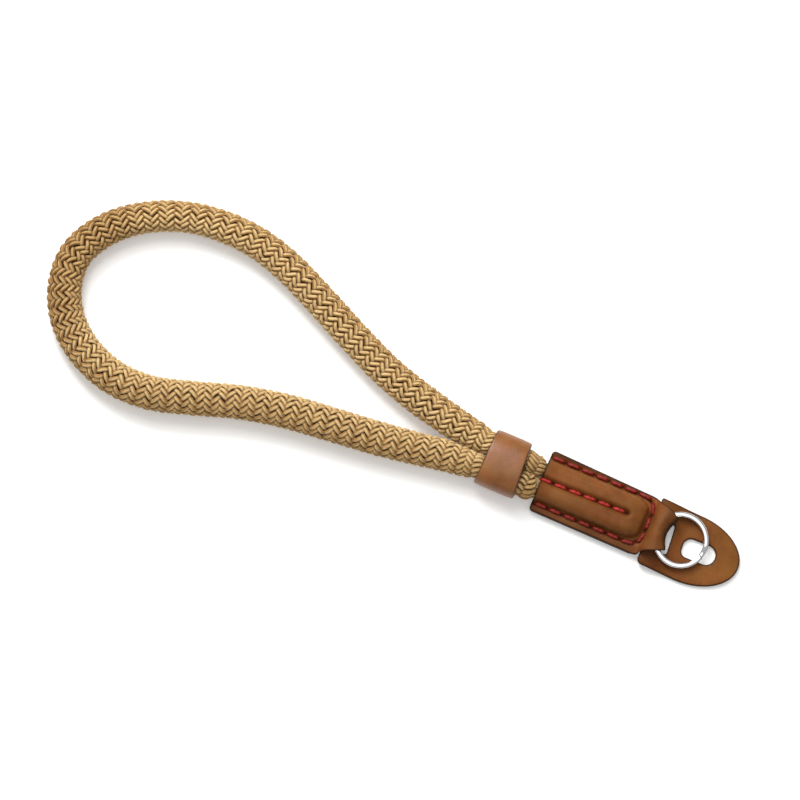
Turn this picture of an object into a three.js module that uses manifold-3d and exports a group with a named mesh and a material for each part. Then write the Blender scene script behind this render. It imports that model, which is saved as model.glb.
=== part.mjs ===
// Camera wrist strap: a braided rope loop whose two ends are sewn into a leather tab, a leather
// keeper band round both legs of the rope, a steel split ring held in the fold of the tab, and
// a leather pad that hangs in the same fold, behind the ring.
//
// Millimetres, +Z up. The strap lies flat on z = 0 along X, with the loop towards -X.
// The origin is on that surface, below the middle of the leather end (tab, ring and pad).

import * as THREE from 'three';
import { mergeVertices } from 'three/addons/utils/BufferGeometryUtils.js';
import Module from 'manifold-3d';

const wasm = await Module();
wasm.setup();

// ---- driving dimensions ---------------------------------------------------------------------

const gap = 0.3;                 // clearance between neighbouring pieces
const socketGap = 0.45;          // clearance round the rope's ends in the tab
const leather = 1.5;             // thickness of the tab's and the keeper's leather

const rope = { lift: 0.05, sides: 12, stepsPerRow: 2 };   // lift: of its underside off the surface

const keeper = {
  left: -54.7, right: -42, axis: 1,
  hollowWidth: 17, hollowHeight: 10.4, cornerRadius: 4.3, arcSteps: 5,
};

const tab = {
  left: -35.3, shoulder: 0.5, tip: 9.9,        // along X: open end, start of the neck, fold
  axis: 1.4, halfWidth: 10.6, shoulderHalfWidth: 10.2,
  tipHalfWidth: 5.9, tipShift: -0.6, tipHollow: 1.2,   // the fold lies round the ring's curve
  cornerCut: 1,
  lobeOffset: 3.6,                             // a rope end's centre, to each side of the axis
  foldTop: 7.3,                                // height of the leather over the ring
};

const slot = { left: 3.3, right: 7.1, bottom: 1.4, top: 3.6 };  // room for the pad in the fold
const strip = { from: -4.4, to: 3.8 };         // across Y: the leather that goes through the pad

const ring = {
  x: 14.4, y: 0.6, radius: 8.4, tilt: 6,       // tilt in degrees: its far side lies on the pad
  wireWidth: 1.65, layerHeight: 0.82, layerPitch: 0.94,
  stepEnd: 15, sweep: 690, degreesPerStep: 10,
};

const pad = {
  left: 3.6, axis: -0.6, halfWidth: 11.5, leftHalfWidth: 11.1, cornerCut: 0.8, thickness: 1.6,
  straight: 14, roundLength: 17.7, arcSteps: 26,
  slitLeft: 6.8, slitRight: 11.7, slitHalfLength: 5,
  holeLeft: 15.7, holeRight: 27.1, holeWidth: 6.4, holeCornerRadius: 1.6,
};

// The rope's route, from its end in the tab, up one leg, round the loop and back into the tab.
// x, y, z: centre. wide: across the route. tall: upwards.
// Where it lies loose it is round, between 10.6 and 11.8 thick.
const loose = (x, y, thick) => ({ x, y, z: thick / 2 + rope.lift, wide: thick, tall: thick });
const ropeRows = [
  { x: -1.2, y: 5.0, z: 3.6, wide: 4.2, tall: 3.7 },
  { x: -33.0, y: 5.0, z: 3.7, wide: 4.5, tall: 4.0 },
  { x: -35.8, y: 5.0, z: 4.1, wide: 5.2, tall: 4.8 },
  { x: -38.4, y: 5.2, z: 5.8, wide: 7.6, tall: 8.6 },
  { x: -41.5, y: 5.25, z: 6.6, wide: 7.9, tall: 9.6 },
  { x: -55.2, y: 5.25, z: 6.6, wide: 7.9, tall: 9.6 },
  { x: -60.0, y: 6.0, z: 6.1, wide: 9.4, tall: 11.0 },
  { x: -68.0, y: 7.1, z: 5.9, wide: 10.6, tall: 11.6 },
  loose(-79.7, 9.4, 11.5),
  loose(-94.8, 13.8, 11.2),
  loose(-109.7, 20.1, 11.1),
  loose(-124.7, 27.1, 11.1),
  loose(-139.8, 33.6, 11.1),
  loose(-151.8, 36.8, 11.0),
  loose(-163.8, 37.5, 10.9),
  loose(-176.8, 35.6, 10.6),
  loose(-189.7, 29.8, 10.8),
  loose(-199.5, 21.2, 11.2),
  loose(-205.1, 10.3, 11.4),
  loose(-204.4, -0.9, 11.6),
  loose(-199.0, -10.9, 11.8),
  loose(-189.7, -18.4, 11.8),
  loose(-177.8, -22.7, 11.8),
  loose(-164.8, -22.8, 11.7),
  loose(-150.9, -19.0, 11.6),
  loose(-136.9, -14.4, 11.6),
  loose(-121.8, -11.1, 11.7),
  loose(-105.8, -9.2, 11.7),
  loose(-89.8, -7.5, 11.6),
  loose(-77.9, -5.8, 11.2),
  { x: -68.0, y: -4.4, z: 5.9, wide: 10.6, tall: 11.4 },
  { x: -60.0, y: -3.75, z: 6.1, wide: 9.4, tall: 11.0 },
  { x: -55.2, y: -3.25, z: 6.6, wide: 7.9, tall: 9.6 },
  { x: -41.5, y: -3.25, z: 6.6, wide: 7.9, tall: 9.6 },
  { x: -38.4, y: -3.3, z: 5.8, wide: 8.0, tall: 8.6 },
  { x: -35.8, y: -2.3, z: 4.1, wide: 5.2, tall: 4.8 },
  { x: -33.0, y: -2.2, z: 3.7, wide: 4.5, tall: 4.0 },
  { x: -1.2, y: -2.2, z: 3.6, wide: 4.2, tall: 3.7 },
];

// The leather lobe over one rope end. halfWide: to each side of the rope end. top: its height.
const lobeRows = [
  { x: -36.0, halfWide: 3.9, top: 8.1 },
  { x: -32.0, halfWide: 3.6, top: 7.4 },
  { x: -5.0, halfWide: 3.6, top: 7.2 },
  { x: -1.5, halfWide: 3.4, top: 6.7 },
  { x: 0.3, halfWide: 2.8, top: 5.2 },
  { x: 1.0, halfWide: 2.2, top: 3.4 },
];

// The rounded end where the two lobes run together.
const endDomeRows = [
  { x: -6.5, halfWide: 1.2, top: 3.4 },
  { x: -4.6, halfWide: 4.6, top: 6.0 },
  { x: -3.0, halfWide: 6.6, top: 6.8 },
  { x: -1.2, halfWide: 6.6, top: 6.5 },
  { x: 0.4, halfWide: 5.8, top: 5.1 },
  { x: 1.1, halfWide: 5.0, top: 3.4 },
];

// The tab from the side: its upper edge past the lobes, over the ring and down round the fold.
const foldProfile = [
  { x: 2.2, z: 3.0 },
  { x: 3.0, z: 3.5 },
  { x: 3.7, z: 4.7 },
  { x: 4.5, z: 6.4 },
  { x: 5.6, z: tab.foldTop },
  { x: 8.1, z: tab.foldTop },
  { x: 9.4, z: 6.5 },
  { x: tab.tip, z: 5.2 },
  { x: tab.tip, z: 1.8 },
  { x: 9.5, z: 0.7 },
  { x: 8.5, z: 0 },
];

// The pad from the side: height of its underside along X, from the fold down to the surface.
const padRows = [
  { x: 2, z: 1.7 },
  { x: 6.8, z: 1.7 },
  { x: 8.6, z: 1.4 },
  { x: 11.2, z: 0.75 },
  { x: 13.6, z: 0.2 },
  { x: 15.6, z: 0 },
  { x: 40, z: 0 },
];

const colour = { rope: 0xc9a566, tabLeather: 0x7c4a2a, keeperLeather: 0x96623a, padLeather: 0x7f4c22, steel: 0xd4d6d8 };

// ---- helpers --------------------------------------------------------------------------------

const upward = new THREE.Vector3(0, 0, 1);

// One ring of points across a path, counted anticlockwise when seen from the path's far end.
function sectionRing(centre, tangent, halfWide, halfTall, sides) {
  const side = new THREE.Vector3().crossVectors(upward, tangent).normalize();
  const up = new THREE.Vector3().crossVectors(tangent, side).normalize();
  return Array.from({ length: sides }, (_, i) => {
    const angle = (i / sides) * 2 * Math.PI;
    return centre.clone()
      .addScaledVector(side, halfWide * Math.cos(angle))
      .addScaledVector(up, halfTall * Math.sin(angle));
  });
}

// A closed body through rings of the same number of points, with a flat cap at each end.
function loft(rings) {
  const sides = rings[0].length;
  const points = rings.flat();
  const faces = [];
  for (let k = 0; k + 1 < rings.length; k++) {
    for (let i = 0; i < sides; i++) {
      const next = (i + 1) % sides;
      const a = k * sides + i;
      const b = k * sides + next;
      faces.push(a, b, b + sides, a, b + sides, a + sides);
    }
  }
  const last = (rings.length - 1) * sides;
  for (let i = 1; i + 1 < sides; i++) {
    faces.push(0, i + 1, i, last, last + i, last + i + 1);
  }
  const geometry = new THREE.BufferGeometry().setFromPoints(points);
  geometry.setIndex(faces);
  return geometry;
}

// A flat outline in X and Z, drawn out across Y.
function prismAcross(outline, from, to) {
  const shape = new THREE.Shape(outline.map(({ x, z }) => new THREE.Vector2(x, z)));
  const geometry = new THREE.ExtrudeGeometry(shape, { depth: to - from, bevelEnabled: false });
  geometry.rotateX(Math.PI / 2);
  return geometry.translate(0, to, 0);
}

// A flat outline in X and Y, drawn up from one height to another.
function prismUp(shape, bottom, top, curveSegments = 6) {
  const geometry = new THREE.ExtrudeGeometry(shape, { depth: top - bottom, bevelEnabled: false, curveSegments });
  return geometry.translate(0, 0, bottom);
}

function box(x0, x1, y0, y1, z0, z1) {
  const geometry = new THREE.BoxGeometry(x1 - x0, y1 - y0, z1 - z0);
  return geometry.translate((x0 + x1) / 2, (y0 + y1) / 2, (z0 + z1) / 2);
}

function solid(geometry) {
  const plain = geometry.clone();
  plain.deleteAttribute('normal');
  plain.deleteAttribute('uv');
  const merged = mergeVertices(plain, 1e-4);
  return new wasm.Manifold(new wasm.Mesh({
    numProp: 3,
    vertProperties: new Float32Array(merged.attributes.position.array),
    triVerts: new Uint32Array(merged.index.array),
  }));
}

function geometryOf(manifold) {
  const { vertProperties, triVerts } = manifold.getMesh();
  const geometry = new THREE.BufferGeometry();
  geometry.setAttribute('position', new THREE.BufferAttribute(vertProperties, 3));
  geometry.setIndex(new THREE.BufferAttribute(triVerts, 1));
  return geometry;
}

function piece(name, geometry, color, roughness, metalness = 0) {
  geometry.computeVertexNormals();
  const mesh = new THREE.Mesh(geometry, new THREE.MeshStandardMaterial({ color, roughness, metalness }));
  mesh.name = name;
  return mesh;
}

// ---- rope -----------------------------------------------------------------------------------

// The rope's rings along the given rows, widened on every side by a clearance.
function ropeRings(rows, clearance = 0) {
  const route = new THREE.CatmullRomCurve3(ropeRows.map(({ x, y, z }) => new THREE.Vector3(x, y, z)));
  const rings = [];
  const first = ropeRows.indexOf(rows[0]);
  const steps = (rows.length - 1) * rope.stepsPerRow;
  for (let step = 0; step <= steps; step++) {
    const row = step / rope.stepsPerRow;
    const before = rows[Math.floor(row)];
    const after = rows[Math.min(Math.floor(row) + 1, rows.length - 1)];
    const share = row - Math.floor(row);
    const along = (first + row) / (ropeRows.length - 1);
    rings.push(sectionRing(
      route.getPoint(along),
      route.getTangent(along),
      THREE.MathUtils.lerp(before.wide, after.wide, share) / 2 + clearance,
      THREE.MathUtils.lerp(before.tall, after.tall, share) / 2 + clearance,
      rope.sides,
    ));
  }
  return rings;
}

function makeRope() {
  return piece('rope_loop', loft(ropeRings(ropeRows)), colour.rope, 0.85);
}

// The room that one rope end takes in the tab, a little past the end of the rope.
function ropeEndRoom(rows) {
  const rings = ropeRings(rows, socketGap);
  for (const end of [rings[0], rings[rings.length - 1]]) {
    if (end[0].x > tab.left) {
      for (const point of end) point.x += socketGap;
    }
  }
  return solid(loft(rings));
}

// ---- keeper band ----------------------------------------------------------------------------

function roundedSection(halfWide, halfTall, radius) {
  const outline = [];
  const corners = [[1, 1, 0], [-1, 1, 90], [-1, -1, 180], [1, -1, 270]];
  for (const [sideSign, upSign, start] of corners) {
    for (let i = 0; i <= keeper.arcSteps; i++) {
      const angle = THREE.MathUtils.degToRad(start + (90 * i) / keeper.arcSteps);
      outline.push(new THREE.Vector2(
        sideSign * (halfWide - radius) + radius * Math.cos(angle),
        upSign * (halfTall - radius) + radius * Math.sin(angle),
      ));
    }
  }
  return outline;
}

function makeKeeper() {
  const halfWide = keeper.hollowWidth / 2;
  const halfTall = keeper.hollowHeight / 2;
  const section = new THREE.Shape(
    roundedSection(halfWide + leather, halfTall + leather, keeper.cornerRadius + leather));
  section.holes.push(new THREE.Path(roundedSection(halfWide, halfTall, keeper.cornerRadius)));
  const depth = keeper.right - keeper.left;
  const geometry = new THREE.ExtrudeGeometry(section, { depth, bevelEnabled: false });
  const lengthwise = new THREE.Matrix4().makeBasis(
    new THREE.Vector3(0, 1, 0), new THREE.Vector3(0, 0, 1), new THREE.Vector3(1, 0, 0));
  geometry.applyMatrix4(lengthwise).translate(keeper.left, keeper.axis, halfTall + leather);
  return piece('keeper_band', geometry, colour.keeperLeather, 0.5);
}

// ---- end tab --------------------------------------------------------------------------------

function tabOutline() {
  const { left, shoulder, tip, halfWidth, shoulderHalfWidth, cornerCut } = tab;
  const { tipHalfWidth, tipShift, tipHollow } = tab;
  const shape = new THREE.Shape();
  shape.moveTo(left, -halfWidth + cornerCut);
  shape.lineTo(left + cornerCut, -halfWidth);
  shape.lineTo(shoulder, -shoulderHalfWidth);
  shape.quadraticCurveTo(shoulder + 3, -shoulderHalfWidth + 0.2, shoulder + 5, -shoulderHalfWidth + 2);
  shape.lineTo(tip - 1, tipShift - tipHalfWidth - 0.7);
  shape.lineTo(tip, tipShift - tipHalfWidth);
  shape.quadraticCurveTo(tip - 2 * tipHollow, tipShift, tip, tipShift + tipHalfWidth);
  shape.lineTo(tip - 1, tipShift + tipHalfWidth + 0.7);
  shape.lineTo(shoulder + 5, shoulderHalfWidth - 2);
  shape.quadraticCurveTo(shoulder + 3, shoulderHalfWidth - 0.2, shoulder, shoulderHalfWidth);
  shape.lineTo(left + cornerCut, halfWidth);
  shape.lineTo(left, halfWidth - cornerCut);
  return shape;
}

// A rounded ridge on the tab: ellipses across it, sunk to the level of the two sewn layers.
function ridge(rows, centreY) {
  const base = 2 * leather;
  const along = new THREE.Vector3(1, 0, 0);
  return solid(loft(rows.map(({ x, halfWide, top }) =>
    sectionRing(new THREE.Vector3(x, centreY, base), along, halfWide, top - base, 16))));
}

function ringPlace() {
  const reach = THREE.MathUtils.degToRad(ring.tilt);
  const restOnPad = pad.thickness + gap + ringHeight() / 2;
  return { z: restOnPad + ring.radius * Math.sin(reach), turn: reach };
}

function makeTab() {
  const { axis, left, lobeOffset } = tab;
  const { z, turn } = ringPlace();
  const side = [{ x: left - 1, z: 0 }, { x: left - 1, z: 2 * leather }, ...foldProfile];
  const ringRoom = new THREE.TorusGeometry(ring.radius, 1.45, 12, 60)
    .rotateY(turn).translate(ring.x, ring.y, z);
  const farRows = ropeRows.slice(-4);
  const nearRows = ropeRows.slice(0, 4);
  const body = solid(prismAcross(side, -20, 20))
    .add(ridge(lobeRows, axis - lobeOffset))
    .add(ridge(lobeRows, axis + lobeOffset))
    .add(ridge(endDomeRows, axis))
    .intersect(solid(prismUp(tabOutline(), 0, 20).translate(0, axis, 0)))
    .subtract(ropeEndRoom(nearRows))
    .subtract(ropeEndRoom(farRows))
    .subtract(solid(box(slot.left, slot.right, -20, 20, slot.bottom, slot.top)))
    .subtract(solid(box(slot.right - 0.3, tab.tip + 1, strip.to, 20, -1, slot.top)))
    .subtract(solid(box(slot.right - 0.3, tab.tip + 1, -20, strip.from, -1, slot.top)))
    .subtract(solid(ringRoom));
  return piece('end_tab', geometryOf(body), colour.tabLeather, 0.5);
}

// ---- split ring -----------------------------------------------------------------------------

function ringHeight() {
  return ring.layerHeight + ring.layerPitch;
}

// Almost two turns of flat wire: the first turn below, the second above it.
function makeRing() {
  const { radius, wireWidth, layerHeight, layerPitch, stepEnd, sweep, degreesPerStep } = ring;
  const steps = sweep / degreesPerStep;
  const centres = Array.from({ length: steps + 1 }, (_, i) => {
    const degrees = stepEnd + i * degreesPerStep;
    const rise = THREE.MathUtils.smoothstep(degrees, 360 - stepEnd, 360 + stepEnd) - 0.5;
    const angle = THREE.MathUtils.degToRad(degrees);
    return new THREE.Vector3(radius * Math.cos(angle), radius * Math.sin(angle), rise * layerPitch);
  });
  const edge = 0.25;
  const halfWide = wireWidth / 2;
  const halfTall = layerHeight / 2;
  const section = [
    [halfWide, halfTall - edge], [halfWide - edge, halfTall],
    [edge - halfWide, halfTall], [-halfWide, halfTall - edge],
    [-halfWide, edge - halfTall], [edge - halfWide, -halfTall],
    [halfWide - edge, -halfTall], [halfWide, edge - halfTall],
  ];
  const rings = centres.map((centre) => {
    const inward = new THREE.Vector3(-centre.x, -centre.y, 0).normalize();
    return section.map(([across, up]) => centre.clone().addScaledVector(inward, across).addScaledVector(upward, up));
  });
  const mesh = piece('split_ring', loft(rings), colour.steel, 0.2, 1);
  const { z, turn } = ringPlace();
  mesh.position.set(ring.x, ring.y, z);
  mesh.rotation.y = turn;
  return mesh;
}

// ---- protector pad --------------------------------------------------------------------------

function padOutline() {
  const { left, halfWidth, leftHalfWidth, cornerCut, straight, roundLength, arcSteps } = pad;
  const shape = new THREE.Shape();
  shape.moveTo(left, -leftHalfWidth + cornerCut);
  shape.lineTo(left + cornerCut, -leftHalfWidth);
  shape.lineTo(left + straight * 0.5, -halfWidth);
  for (let i = 0; i <= arcSteps; i++) {
    const angle = -Math.PI / 2 + (Math.PI * i) / arcSteps;
    shape.lineTo(left + straight + roundLength * Math.cos(angle), halfWidth * Math.sin(angle));
  }
  shape.lineTo(left + straight * 0.5, halfWidth);
  shape.lineTo(left + cornerCut, leftHalfWidth);
  shape.lineTo(left, leftHalfWidth - cornerCut);
  return shape;
}

// The slit that the fold of the tab goes through.
function padSlit() {
  const { slitLeft, slitRight, slitHalfLength } = pad;
  const slit = new THREE.Path();
  slit.moveTo(slitLeft, -slitHalfLength);
  slit.lineTo(slitRight, -slitHalfLength);
  slit.lineTo(slitRight, slitHalfLength);
  slit.lineTo(slitLeft, slitHalfLength);
  return slit;
}

// The eye for the lug: round on the far side, square with round corners on the near side.
function padEye() {
  const { holeLeft, holeRight, holeWidth, holeCornerRadius } = pad;
  const radius = holeWidth / 2;
  const corner = radius - holeCornerRadius;
  const eye = new THREE.Path();
  eye.absarc(holeRight - radius, 0, radius, -Math.PI / 2, Math.PI / 2);
  eye.absarc(holeLeft + holeCornerRadius, corner, holeCornerRadius, Math.PI / 2, Math.PI);
  eye.absarc(holeLeft + holeCornerRadius, -corner, holeCornerRadius, Math.PI, 1.5 * Math.PI);
  return eye;
}

function makePad() {
  const { axis, thickness } = pad;
  const shape = padOutline();
  shape.holes.push(padSlit(), padEye());
  const side = [...padRows, ...padRows.map(({ x, z }) => ({ x, z: z + thickness })).reverse()];
  const body = solid(prismAcross(side, -20, 20))
    .intersect(solid(prismUp(shape, -1, 10, 8).translate(0, axis, 0)));
  return piece('protector_pad', geometryOf(body), colour.padLeather, 0.5);
}

// ---- the strap ------------------------------------------------------------------------------

const strap = new THREE.Group();
strap.add(makeRope(), makeKeeper(), makeTab(), makeRing(), makePad());

export default strap;
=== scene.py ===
"""Camera wrist strap: the looks of a braided rope loop with a leather keeper, tab and pad.

Metres, +Z up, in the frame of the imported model: the strap lies on z = 0 along X, its loop
towards -X. Sizes are written in millimetres, and a mesh or a node takes them in metres.
"""

import math

import bpy
import bmesh
import numpy as np
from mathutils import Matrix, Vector
from mathutils.geometry import delaunay_2d_cdt


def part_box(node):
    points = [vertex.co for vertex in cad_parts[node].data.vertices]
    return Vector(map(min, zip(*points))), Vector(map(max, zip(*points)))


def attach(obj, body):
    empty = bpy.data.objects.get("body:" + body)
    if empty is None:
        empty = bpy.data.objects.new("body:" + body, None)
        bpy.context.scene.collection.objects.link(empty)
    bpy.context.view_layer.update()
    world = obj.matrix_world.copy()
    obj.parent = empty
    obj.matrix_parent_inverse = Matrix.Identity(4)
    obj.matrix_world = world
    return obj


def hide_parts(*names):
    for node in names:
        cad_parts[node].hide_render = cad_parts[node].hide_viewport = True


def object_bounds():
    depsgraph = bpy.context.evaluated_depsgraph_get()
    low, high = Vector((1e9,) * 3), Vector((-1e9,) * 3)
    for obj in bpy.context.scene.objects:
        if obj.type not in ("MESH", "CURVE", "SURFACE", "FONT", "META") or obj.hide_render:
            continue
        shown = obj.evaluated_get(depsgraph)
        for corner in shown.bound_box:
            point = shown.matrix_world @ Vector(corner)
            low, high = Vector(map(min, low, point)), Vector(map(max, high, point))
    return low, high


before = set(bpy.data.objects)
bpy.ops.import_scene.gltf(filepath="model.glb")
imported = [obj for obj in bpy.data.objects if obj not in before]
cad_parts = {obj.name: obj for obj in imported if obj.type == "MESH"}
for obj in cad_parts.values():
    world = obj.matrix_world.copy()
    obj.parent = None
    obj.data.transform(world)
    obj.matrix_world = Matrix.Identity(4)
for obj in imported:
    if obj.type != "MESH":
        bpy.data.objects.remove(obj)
cad_low, cad_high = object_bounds()

MM = 0.001
BODY = "root"


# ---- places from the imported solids, in millimetres ----

X, Y = 0, 1


def reach_of(node, axis):
    """Where a solid starts, has its middle and ends along an axis."""
    low, high = (corner[axis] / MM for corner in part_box(node))
    return [round(place, 2) for place in (low, (low + high) / 2, high)]


KEEPER_START, _, KEEPER_END = reach_of("keeper_band", X)
TAB_LEFT, _, _ = reach_of("end_tab", X)
TAB_LOW, TAB_AXIS, TAB_HIGH = reach_of("end_tab", Y)
_, RING_AXIS, _ = reach_of("split_ring", Y)
_, _, PAD_END = reach_of("protector_pad", X)
PAD_LOW, PAD_AXIS, PAD_HIGH = reach_of("protector_pad", Y)


# ---- sizes in millimetres ----
# A range is two places: where an effect starts, and where it is full.

CLEARANCE = 0.02                # of the leather and the thread off the surface

ROPE_LIFT = 0.05                # of its underside off the surface
ROPE_WIDTH = 11.4               # where it lies loose, on average
ROUTE_STEPS = 16                # between two rows of its route
ROUTE_PITCH = 0.6               # of the even places along it
COARSE = 4                      # the rope's inside takes every fourth of them
CORE_DEPTH = 1.25               # of the rope's inside, painted in shade, below the strands' outer faces
CORE_SIDES = 16
STRANDS_PER_HAND = 14
STRAND_POINTS = 620             # along each strand
STRAND_SIDES = 5
CROSSINGS_PER_PERIOD = 4        # two crossings over, two under
PERIOD = 4.95                   # along the loose rope
STRAND_WIDE = 1.43
STRAND_TALL = 1.2
STRAND_SWING = 0.5              # in and out, where strands cross
WAVE_CUT = 1.5                  # height of the wave that is cut flat at 1 and -1
STRAND_WANDER = 0.7             # from side to side, as a share of the space between strands
PLY_LAY = (37.7, 5.2)           # radians of a strand's ply lines: once round it, and to a millimetre along
LEG_FULLNESS = (-0.1, 0.9)      # how far the upper and the lower leg swell before the tab
LEG_TALLER = 0.15               # how far both swell in height there
LEG_LEAN = 0.7                  # how far each then presses towards the other
LEGS_MEET = 0.25                # how far both swell and lean where they meet before the keeper
LEGS_FULL, LEGS_IN_TAB = (-43.0, -40.5), (-35.6, -34.0)         # ranges of x
LEGS_TOUCH, LEGS_IN_KEEPER = (-76.0, -68.0), (-55.8, -54.6)     # ranges of x
# Painted shade on the rope: at the loop's far bend, and on the legs between the keeper and the tab.
SHADE_AT_BEND = (-186.0, -198.0), (-22.0, -6.0)                  # ranges of x and of y
SHADE_AT_TAB = (-44.0, -40.5)                                 # range of x
SHADE_ON_LEGS = (1.0, 0.6)       # how far the painted shade darkens the upper and the lower leg there

KEEPER_MORE = 0.15              # of its leather, past each end of its solid
KEEPER_LEFT, KEEPER_RIGHT = KEEPER_START - KEEPER_MORE, KEEPER_END + KEEPER_MORE
KEEPER_AXIS = 0.85
KEEPER_HOLLOW = (8.35, 5.3)     # half its width, half its height
KEEPER_SQUARE = 2.35            # 2 is an ellipse, more is squarer
KEEPER_LEATHER = 1.35           # of its outer face off the hollow
KEEPER_INSIDE = 0.15            # of its inner face off the hollow
KEEPER_CROWN = 0.22             # how far both edges turn in
KEEPER_SLANT = 0.09             # of its sides towards each other, to a millimetre across
KEEPER_WAVE = (0.12, 0.3)       # how far its sides wave, and radians to a millimetre across
KEEPER_EDGE = (0.45, 0.5)       # radius of its cut edges, and how far they fall
KEEPER_DARK = (0.5, 0.1)        # range of the distance from an edge
KEEPER_SIDES = 128
KEEPER_STEP = 0.035             # as a share of its width, like its rim
KEEPER_RIM = (0.0, 0.004, 0.014, 0.032)

TAB_SHOULDER = 0.5
TAB_WIDTH = TAB_HIGH - TAB_LOW
TAB_STEP = 0.27                 # between points across it
TAB_EDGE = 0.5                  # radius of its cut edges
MOUTH_SHIFT = (0.4, 1.2)        # of its lower and its upper edge along Y, at the mouth
MOUTH_CORNER = 1.3
ROPE_END = -1.2                 # in the tab
ROPE_LEGS = (5.05, -2.25)       # across the tab
ROPE_SLACK = 0.15               # between rope and leather
ROPE_ROOM_PAST = 0.4            # of the hollow, past the rope's end
SEWN_TOP = 3.0                  # top of two layers of leather sewn together
BACK = 0.1                      # height of the back layer's underside
LAYER_JOINT = 1.5               # height of the line between them
LAYER_GAP = 0.05                # of each layer off that line
LOBE_REACH = 7.3                # the raised leather over the rope ends, to each side of the axis
LOBE_SIDE = 3.7                 # across the strap, from a lobe's foot to its top
LOBE_END = 1.9
LOBE_FALL = 7.0                 # along the strap, from the top of the lobes' end to its foot
LOBE_ROUND = 2.2                # 2 is round, more is squarer
LOBE_FOOT = 0.25                # share of a lobe's side that runs out softly
VALLEY_END = -5.3               # the valley between the lobes ends here
VALLEY_WIDTH = 1.05
VALLEY_LEFT = 0.55              # share of the lobes' height that is left in the valley
VALLEY_OFFSET = (-0.3, 0.2)     # of its line off the axis, at the mouth and at its end
FOLD_BEND = 2.3                 # how far the fold can follow the ring
BEND_RANGE = (3.6, 6.9)         # range of x
BEND_SHORT = 0.2                # how far before the ring's inside the bend stops
WIRE_SLACK = 0.15               # between the ring's wire and the fold
RIM = (0.0, 0.04, 0.12, 0.25, 0.42, 0.65)       # of the points near a cut edge
FLAT_START = 0.3                # of the even rows, past the last place near the mouth
FLAT_ROWS = 92                  # even rows along the flat part
FOLD_STEPS = 5                  # between two rows of the fold
FRONT_ROWS = 20                 # rows of the fold that are shaped with the front
BACK_ROWS = 6                   # rows of the fold that are shaped with the back
NOSE_ROWS = 40                  # rows of the fold before its nose
NOSE_DARK = (7.0, 5.6)          # range of z of the painted shade on the fold's underside, past its nose
NOSE_DARKEST = 0.85
EDGE_DARK = (0.75, 0.15)        # range of the distance from a cut edge

# Where leather is darkened: ranges of y and of x for the tab's darker upper flange, and steps of painted
# shade for the rest, each of them how much darker and its range of x or of y.
FLANGE_DARKER = (9.65, 10.85), (6.0, 1.0)
NECK_PAINTED_SHADE = [(0.2, 0.5, 4.0), (0.4, 6.0, 8.0)]
LOWER_PAINTED_SHADE = [(0.22, 2.5, 0.5), (0.38, -5.6, -7.6)]
PAD_LOWER_PAINTED_SHADE = [(0.35, 3.0, -9.0)]

PATH_STEP = 0.25
STITCH_PITCH = 5.0
STITCH_LENGTH = 3.45
STITCH_SIDES = (8.05, -8.15)    # the two side rows, from the tab's axis
STITCH_START = 0.35             # of the side rows, from the mouth
STITCH_END = 2.45
STITCH_CORNER = 4.4
CORNER_STEPS = 16               # points round a corner of the path
STITCH_REACH = 0.2              # to each side of a stitch, for its direction
VALLEY_ROW = (TAB_LEFT - 0.9, VALLEY_END - 0.1)         # from x, to x
THREAD = 1.4
STITCH_BOW = 0.22
STITCH_TWISTS = 3.0             # half turns of the thread's two plies
STITCH_POINTS = 15              # along each stitch
STITCH_DROP = (5.0, 3.6)        # the power of its fall to both ends, and its depth in bows
THREAD_SIDES = 12
THREAD_WAIST = 0.1              # half the depth of its waist, as a share of its radius
STITCH_REST = (0.12, 0.3)       # how far the side rows and the middle row stand on the leather
SEAM = (0.28, 0.75)             # depth and width of the groove that the side rows pull in
BACK_SEAM = (0.35, 0.6)         # and of those on the back
DENT_LONG, DENT_WIDE, DENT_DEEP = 1.1, 0.55, 0.45       # of the dent between two stitches

RING_X = 14.4
RING_RADIUS = 8.4
RING_TILT = 6.0                 # degrees, its left side up
RING_START, RING_SWEEP = 15.0, 690.0    # degrees
RING_PITCH = 2.5                # degrees between its points
RING_STEP = (345, 375)          # degrees between which the wire steps up
RING_OVER_PAD = 0.3
WIRE_WIDTH = 1.65
WIRE_SQUARE = 0.7               # 1 is an ellipse, less is squarer
WIRE_SIDES = 16
WIRE_ENDS = [(0, 0.75), (1, 0.94), (2, 1.0)]    # points from an end, share of its full size there
LAYER_HEIGHT = 0.82
LAYER_PITCH = 0.94

PAD_THICKNESS = 1.6
PAD_ROUND_START = 17.6          # of its round end
PAD_SQUARE_END = 11.9           # where its square end stops
PAD_EDGE = (0.6, 0.72)          # radius of its cut edges, and their fall in half thicknesses
PAD_INSETS = (0.0, 0.05, 0.16, 0.34, 0.6)
PAD_WAVE = 0.12                 # half the height of its waves
PAD_WAVE_LAY = (0.31, 0.22)     # radians to a millimetre along X and Y
PAD_FLAT = (18, 33)             # range of x of its waves
PAD_PAINTED_SHADE = 0.5                # how dark its painted shade is near the tab
PAD_NEAR_TAB = (24.0, 8.0)      # range of x
OUTLINE_STEP, HOLE_STEP, FILL_STEP = 0.5, 0.3, 0.8
FILL_GAP = 0.55                 # of the fill's points off the loops, in its steps
CORNER_POINTS, ROUND_POINTS = 13, 90

# Corners: x, y from the pad's axis, radius.
PAD_CORNERS = [(3.75, 11.95, 0.45), (3.6, -11.05, 1.8), (12.0, -11.6, 0.01), (12.0, 11.6, 0.01)]
SLIT_CORNERS = [(6.8, 5.0, 0.7), (11.0, 5.0, 0.9), (11.9, -5.0, 0.9), (6.8, -5.0, 0.7)]
EYE_CORNERS = [(15.6, 3.2, 2.7), (27.0, 3.4, 3.1), (27.0, -3.0, 3.1), (16.0, -3.2, 2.1)]

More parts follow.
